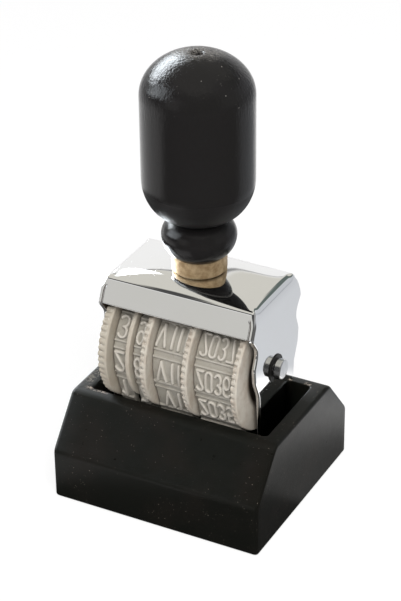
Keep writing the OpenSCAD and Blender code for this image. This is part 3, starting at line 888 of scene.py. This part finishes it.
def lacquerRecipe(bench):
    x, y, z = bench.split(bench.spot())
    streak = bench.noise(lacquer["streak"], 3, 0.5, bench.spot((1, 1, 0.3)), 0.4)
    fine = bench.noise(lacquer["grain"], 3, 0.6)
    cloud = bench.noise(0.12, 2)
    pits = bench.span(bench.noise(1.5, 2, 0.5), 0.72, 0.8)
    # a pale crescent on the crown, strongest on the side away from the front: a painted reflection of the bright
    # room; worn specks on the dome; and pale crackle on the left of the bead
    backward = 0.88 * y - 0.47 * x
    crown = bench.span(z + 0.22 * backward + 1.6 * bench.noise(0.9, 2), 92.7, 94.2)
    specks = bench.span(bench.noise(1.7, 2, 0.5), 0.725, 0.775) * bench.span(z, 83, 87)
    bead = bench.within(z, *lacquer["beadSpan"], 0.8) * bench.span(x, -4.6, -6.2)
    crackle = bench.span(bench.noise(3.2, 4, 0.7, warp=0.8), 0.54, 0.62)
    paleWearAndSheen = crown * bench.span(fine, 0.46, 0.6) * 0.55 + bead * crackle * 0.5 + specks * 0.6
    dull = bench.within(z, *lacquer["neckSpan"], 1.0)
    uneven = 0.25 + 0.75 * bench.span(z, *lacquer["domeFrom"])
    grounds = bench.bump(streak * uneven, lacquer["streakDepth"], 0.8)
    return bench.shader(
        Specular_IOR_Level=lacquer["specular"],
        Base_Color=bench.mixed(paleWearAndSheen, bench.mixed(cloud, lacquer["black"], lacquer["warm"]), lacquer["scuffAndSheen"]),
        Roughness=lacquer["roughness"] + 0.05 * streak + 0.12 * crown + 0.25 * paleWearAndSheen + 0.35 * dull + 0.22 * bead,
        Normal=bench.bump(fine + pits * 2 + bead * crackle * 4, lacquer["grainDepth"], 0.6, grounds))


handle = {
    "bottom": 51.8, "ring": 5.4, "bead": 7.3, "beadUnder": 4.0, "beadOver": 3.9, "neck": 4.3, "grip": 10.9,
    "shoulder": 8.3, "straight": 16.8, "dome": 8.5, "dimple": 1.2, "bore": 1.93, "boreDepth": 17.0,
}


def makeHandle():
    h = handle
    low, high = math.acos(h["ring"] / h["bead"]), math.acos(h["neck"] / h["bead"])
    beadZ = h["bottom"] + h["beadUnder"]
    straightZ = beadZ + h["beadOver"] + h["shoulder"]
    domeZ = straightZ + h["straight"]
    boreTop = h["bottom"] + h["boreDepth"]
    dome = arc((0, domeZ), (h["grip"], h["dome"]), 0, 90, 40)
    # the rim of the dimple, its wall and its floor: radius over its own, depth under the top
    dimple = np.array([(0.12, 0.1), (0, 0.18), (-0.12, 0.45), (-0.25, 1.5), (-0.5, 1.8), (-h["dimple"], 1.9)])
    outline = np.vstack([
        [(0, boreTop), (h["bore"], boreTop), (h["bore"], h["bottom"] + 0.3), (h["bore"] + 0.1, h["bottom"]),
         (h["ring"] - 0.3, h["bottom"]), (h["ring"] - 0.1, h["bottom"] + 0.05)],
        arc((0, beadZ), (h["bead"], h["beadUnder"] / math.sin(low)), 1 - math.degrees(low), 0, 18)[:-1],
        arc((0, beadZ), (h["bead"], h["beadOver"] / math.sin(high)), 0, math.degrees(high), 18),
        arc((h["neck"], straightZ), (h["grip"] - h["neck"], h["shoulder"]), -90, 0, 30)[1:],
        np.column_stack([np.full(14, h["grip"]), np.linspace(straightZ, domeZ, 16)[1:-1]]),
        dome[dome[:, 0] > h["dimple"] + 0.25],
        np.column_stack([h["dimple"] + dimple[:, 0], domeZ + h["dome"] - dimple[:, 1]])])
    return turned("turned_handle", outline[:, ::-1], steps=128)


place(makeHandle(), "stamp", "black_lacquer", finish("black lacquer", lacquerRecipe), "handle")
print("handle is made")


# ferrule: a dull brass ring between the cap and the handle

brass = {
    "light": colour(197, 173, 137), "brown": colour(159, 132, 96), "metallic": 0.6, "roughness": 0.34,
}


def brassRecipe(bench):
    brushed = bench.noise(1.0, 4, 0.6, bench.spot((0.5, 0.5, 6)))
    tarnish = bench.noise(0.7, 4, 0.65)
    return bench.shader(
        Base_Color=bench.mixed(bench.span(tarnish, 0.35, 0.7), brass["light"], brass["brown"]),
        Metallic=brass["metallic"],
        Roughness=brass["roughness"] + 0.25 * tarnish,
        Normal=bench.bump(brushed, 0.02, 0.4, bench.bump(tarnish, 0.04, 0.4)))


ferrule = {"radius": 5.4, "hole": 1.93, "low": 48.3, "high": 51.8, "edge": 0.22, "foot": 0.45}


def makeFerrule():
    f = ferrule
    corners = [(f["low"], f["hole"]), (f["low"], f["radius"]), (f["high"], f["radius"]), (f["high"], f["hole"])]
    return turned("brass_ferrule", rounded(corners, [0, f["foot"], f["edge"], 0], 5, closed=True, support=0.1))


place(makeFerrule(), "stamp", "dull_brass", finish("dull brass", brassRecipe), "ferrule")
print("ferrule is made")


# small parts of steel and plastic, shaped like their solids

steel = {
    "bright": {
        "tints": (grey(0.74), grey(0.6)), "cloud": 1.1, "metallic": 1.0, "roughness": (0.16, 0.14),
        "grain": 3.5, "strength": 0.35},
    "black": {
        "tints": (colour(24, 24, 24), colour(44, 42, 40)), "cloud": 1.3, "metallic": 0.3, "roughness": (0.36, 0.2),
        "grain": 4.0, "strength": 0.4},
}


def steelRecipe(bench, plan):
    cloud = bench.noise(plan["cloud"], 4)
    least, more = plan["roughness"]
    return bench.shader(
        Base_Color=bench.mixed(cloud, *plan["tints"]), Metallic=plan["metallic"], Roughness=least + more * cloud,
        Normal=bench.bump(bench.noise(plan["grain"], 3), 0.02, plan["strength"]))


# by finish: each part, its name and how far its edges are softened
fittings = {
    ("bright_steel", finish("bright steel", steelRecipe, steel["bright"])): [
        ("platen", "pressed_platen", 0.15), ("left_rivet", "left_platen_rivet", 0.15),
        ("right_rivet", "right_platen_rivet", 0.15), ("axle", "wheel_axle", 0.12),
        ("handle_screw", "slotted_handle_screw", 0.15)],
    ("black_steel", finish("blackened steel", steelRecipe, steel["black"])): [
        ("left_clip", "left_spring_clip", 0.06), ("right_clip", "right_spring_clip", 0.06)],
    ("ivory_plastic", ivoryPlastic): [
        ("left_shim", "left_washer", 0.05), ("right_shim", "right_washer", 0.05)],
}
for (slot, material), parts in fittings.items():
    for node, name, soften in parts:
        place(dressed(name, node, soften), "stamp", slot, material, node)
print("small fittings are made")


# pale floor, one soft lamp and a plain studio world

beige = (0.7, 0.685, 0.63, 1.0)
floorPale = (0.59, 0.612, 0.645, 1.0)
noStart, noEnd = (-9999, -9998), (9998, 9999)
always = (*noStart, *noEnd)
ahead, behind = (-176, -168, -144, -136), (-100, -94, 43, 49)

studio = {
    "floorSize": 3.0, "floorWhite": 0.82, "floorDark": 0.1, "shadowShare": 0.3, "floorGlow": 1.1,
    # floor patches that polished parts mirror: bearing and millimetres from the middle, each as
    # where it starts, is full, is last full and ends; and the shade
    "floor": [
        ((-9, 9, 57, 75), always, floorPale),
        ((-144, -126, 1, 19), (108, 128, *noEnd), grey(1.15)),
        ((-180, -176, -127, -123), (32, 40, 86, 94), grey(0.85)),
    ],
    # right of the object, where its end face is mirrored, the floor grows lighter outward
    "beside": ((31, 41, 85, 95), (*noStart, 50, 58)), "besideFrom": (32, 48),
    "besideShades": (grey(0.35), grey(1.35)),
    # the same for the room: bearing and height over the horizon in degrees
    "room": [
        (ahead, (-9, -3, 19, 25), (0.635, 0.63, 0.605, 1)),
        (ahead, (18.5, 21.5, 26.5, 29.5), grey(0.95)),
        (behind, (29, 33, 93, 97), beige),
        (always, (44, 50, *noEnd), beige),
        (behind, (*noStart, 31, 34), grey(1.0)),
        ((-100, -94, -30, 0), (30.1, 31.1, 31.5, 32.5), grey(0.18)),
        ((10, 14, 58, 62), (*noStart, 22, 24), floorPale),
        ((-8, -4, 58, 62), (23, 25, 38, 40), (0.13, 0.16, 0.15, 1)),
        ((55, 65, 99, 109), (-25, -15, 55, 65), grey(0.35)),
    ],
    "roomDark": 0.07, "diffuse": (0.5, 0.505, 0.52, 1.0), "window": (26.0, 27.8, 29.2, 1.0),
    "soft": {"from": (146, 50), "distance": 0.8, "size": (0.5, 0.5), "power": 6.9, "tint": (1.0, 0.98, 0.95)},
}


def patched(bench, shade, first, second, patches):
    for wide, high, other in patches:
        part = bench.between(first, *wide) * bench.between(second, *high)
        shade = bench.mixed(part, shade, other)
    return shade


def rays(bench):
    path = bench.node("LightPath").socket.node.outputs
    return Wire(bench, path["Is Camera Ray"]), Wire(bench, path["Is Glossy Ray"])


def floorRecipe(bench):
    x, y, _ = bench.split(bench.scaled(bench.node("NewGeometry"), [1 / mm] * 3))
    azimuth, reach = bench.bearing(x, y), (x * x + y * y) ** 0.5
    mirrored = patched(bench, grey(studio["floorDark"]), azimuth, reach, studio["floor"])
    beside = bench.mixed(bench.span(reach, *studio["besideFrom"]), *studio["besideShades"])
    mirrored = patched(bench, mirrored, azimuth, reach, [(*studio["beside"], beside)])
    camera, glossy = rays(bench)
    lit = bench.node("BsdfDiffuse", {}, {"Color": bench.mixed(glossy, grey(studio["floorWhite"]), mirrored)})
    white = bench.node("Emission", {}, {"Color": grey(1.0), "Strength": studio["floorGlow"]})
    return bench.node("MixShader", {}, {0: camera * (1 - studio["shadowShare"]), 1: lit, 2: white})


def makeFloor():
    a = studio["floorSize"] / 2
    mesh = bpy.data.meshes.new("floor")
    mesh.from_pydata([(-a, -a, 0), (a, -a, 0), (a, a, 0), (-a, a, 0)], [], [(0, 1, 2, 3)])
    mesh.materials.append(finish("pale floor", floorRecipe))
    added("floor", mesh)


def worldRecipe(bench):
    ray = bench.node("TexCoord", output="Generated")
    x, y, z = bench.split(ray)
    azimuth, height = bench.bearing(x, y), bench.lone("ARCSINE", z) * math.degrees(1)
    room = patched(bench, grey(studio["roomDark"]), azimuth, height, studio["room"])
    # a window with a bright pane and a dim one, on the left
    uneven = 0.6 + 0.4 * bench.span(bench.noise(7.0, 4, 0.6, ray), 0.4, 0.6)
    bright = bench.within(azimuth, -88, -42, 2) * bench.within(height, 15, 41, 2)
    dim = bench.within(azimuth, -134, -95, 2) * bench.within(height + 0.35 * (azimuth + 115), 8, 36, 2) * 0.3
    room = bench.mixed((bright + dim) * uneven, room, studio["window"])
    camera, glossy = rays(bench)
    light = bench.mixed(glossy, studio["diffuse"], room)
    return bench.node("Background", {}, {0: bench.mixed(camera, light, grey(1.0)), 1: 1.0})


def lightStudio():
    world = bpy.data.worlds.new("studio")
    bpy.context.scene.world = world
    world.use_nodes = True
    bench = Bench(world.node_tree)
    bench.node("OutputWorld", {}, {0: worldRecipe(bench)})
    plan = studio["soft"]
    lamp = bpy.data.lights.new("soft lamp", "AREA")
    lamp.shape, lamp.size, lamp.size_y = "RECTANGLE", *plan["size"]
    lamp.energy, lamp.color = plan["power"], plan["tint"]
    piece, out = added("soft lamp", lamp), toward(*plan["from"])
    piece.location = out * plan["distance"] + Vector(view["target"]) * mm
    piece.rotation_euler = out.to_track_quat("Z", "Y").to_euler()
    piece.visible_camera = piece.visible_glossy = False
    bpy.context.scene.view_settings.view_transform = "Standard"


makeFloor()
lightStudio()
print("studio is lit")
